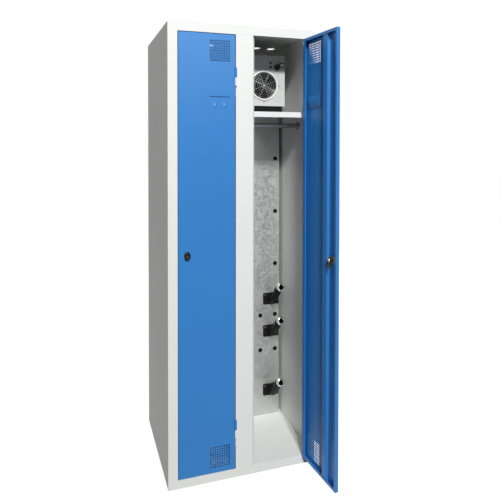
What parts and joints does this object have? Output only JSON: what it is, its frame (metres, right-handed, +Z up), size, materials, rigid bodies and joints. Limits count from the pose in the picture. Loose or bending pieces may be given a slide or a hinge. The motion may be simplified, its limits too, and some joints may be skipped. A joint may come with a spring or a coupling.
{
  "type": "drying cabinet",
  "caption": "Tall double steel cabinet that dries work clothes and boots: hinged doors with air holes, a fan heater on the shelf, an air duct and boot arms behind.",
  "frame": {"origin": "on the ground at the middle of the carcass, in width and in depth", "axes": "+Z up, +X to the right seen from the front, doors facing -Y"},
  "size_m": [0.62, 0.7473, 1.8],
  "materials": {
    "grey_enamel": "light grey powder coat, satin",
    "blue_enamel": "blue powder coat, satin",
    "galvanised_sheet": "galvanised sheet, fine spangle",
    "zinc_steel": "bright zinc plate",
    "heater_enamel": "pale grey enamel, satin",
    "bright_wire": "nickel-plated wire",
    "black_plastic": "moulded, fine grain",
    "white_plastic": "moulded, smooth",
    "black_rubber": "moulded rubber",
    "chrome": "polished chrome plate",
    "lock_chrome": "chrome-plated zinc casting",
    "lock_brass": "machined brass"
  },
  "bodies": {
    "carcass": {"side_panel_left": "grey_enamel", "side_panel_right": "grey_enamel", "stile_left": "grey_enamel", "stile_right": "grey_enamel", "centre_stile": "grey_enamel", "top_rail": "grey_enamel", "bottom_sill": "grey_enamel", "partition": "grey_enamel", "back_panel": "grey_enamel", "floor_panel": "grey_enamel", "roof_panel": "grey_enamel", "roof_vents": "white_plastic", "cable_glands": "black_plastic", "frame_knuckles": "grey_enamel", "hinge_pins": "zinc_steel", "shelf_left": "grey_enamel", "clothes_rail_left": "zinc_steel", "air_duct_left": "galvanised_sheet", "duct_nozzles_left": "black_rubber", "boot_arm_bases_left": "black_plastic", "boot_arm_tubes_left": "black_plastic", "boot_arm_collars_left": "chrome", "heater_housing_left": "heater_enamel", "air_outlet_left": "galvanised_sheet", "fan_bezel_left": "heater_enamel", "fan_guard_left": "bright_wire", "fan_frame_left": "black_plastic", "heating_element_left": "galvanised_sheet", "control_fittings_left": "black_plastic", "shelf_right": "grey_enamel", "clothes_rail_right": "zinc_steel", "air_duct_right": "galvanised_sheet", "duct_nozzles_right": "black_rubber", "boot_arm_bases_right": "black_plastic", "boot_arm_tubes_right": "black_plastic", "boot_arm_collars_right": "chrome", "heater_housing_right": "heater_enamel", "air_outlet_right": "galvanised_sheet", "fan_bezel_right": "heater_enamel", "fan_guard_right": "bright_wire", "fan_frame_right": "black_plastic", "heating_element_right": "galvanised_sheet", "control_fittings_right": "black_plastic"},
    "left_door": {"door_panel_left": "blue_enamel", "door_stiffener_left": "blue_enamel", "door_knuckles_left": "blue_enamel", "lock_body_left": "lock_chrome"},
    "left_lock_cam": {"lock_cam_left": "lock_brass"},
    "left_fan": {"fan_impeller_left": "black_plastic"},
    "left_timer_knob": {"timer_knob_left": "black_plastic"},
    "left_power_rocker": {"power_rocker_left": "white_plastic"},
    "right_door": {"door_panel_right": "blue_enamel", "door_stiffener_right": "blue_enamel", "door_knuckles_right": "blue_enamel", "lock_body_right": "lock_chrome"},
    "right_lock_cam": {"lock_cam_right": "lock_brass"},
    "right_fan": {"fan_impeller_right": "black_plastic"},
    "right_timer_knob": {"timer_knob_right": "black_plastic"},
    "right_power_rocker": {"power_rocker_right": "white_plastic"}
  },
  "joints": [
    {"name": "left_door_hinge", "type": "hinge", "parent": "carcass", "child": "left_door", "pos_m": [-0.038, -0.2545, 0.9], "axis": [0, 0, 1], "range_deg": [0, 110]},
    {"name": "left_lock_turn", "type": "hinge", "parent": "left_door", "child": "left_lock_cam", "pos_m": [-0.234, -0.2545, 0.9], "axis": [0, 1, 0], "range_deg": [0, 90]},
    {"name": "left_fan_spin", "type": "hinge", "parent": "carcass", "child": "left_fan", "pos_m": [-0.15475, -0.06, 1.592], "axis": [0, -1, 0], "continuous": true},
    {"name": "left_timer_turn", "type": "hinge", "parent": "carcass", "child": "left_timer_knob", "pos_m": [-0.09475, -0.078, 1.674], "axis": [0, 1, 0], "range_deg": [0, 300]},
    {"name": "left_power_rock", "type": "hinge", "parent": "carcass", "child": "left_power_rocker", "pos_m": [-0.06975, -0.07, 1.685], "axis": [-1, 0, 0], "range_deg": [0, 14]},
    {"name": "right_door_hinge", "type": "hinge", "parent": "carcass", "child": "right_door", "pos_m": [0.271, -0.2545, 0.9], "axis": [0, 0, 1], "range_deg": [-95, 15]},
    {"name": "right_lock_turn", "type": "hinge", "parent": "right_door", "child": "right_lock_cam", "pos_m": [0.28808, -0.44975, 0.9], "axis": [-0.9962, -0.0872, 0], "range_deg": [0, 90]},
    {"name": "right_fan_spin", "type": "hinge", "parent": "carcass", "child": "right_fan", "pos_m": [0.15475, -0.06, 1.592], "axis": [0, -1, 0], "continuous": true},
    {"name": "right_timer_turn", "type": "hinge", "parent": "carcass", "child": "right_timer_knob", "pos_m": [0.21475, -0.078, 1.674], "axis": [0, 1, 0], "range_deg": [0, 300]},
    {"name": "right_power_rock", "type": "hinge", "parent": "carcass", "child": "right_power_rocker", "pos_m": [0.23975, -0.07, 1.685], "axis": [-1, 0, 0], "range_deg": [0, 14]}
  ]
}
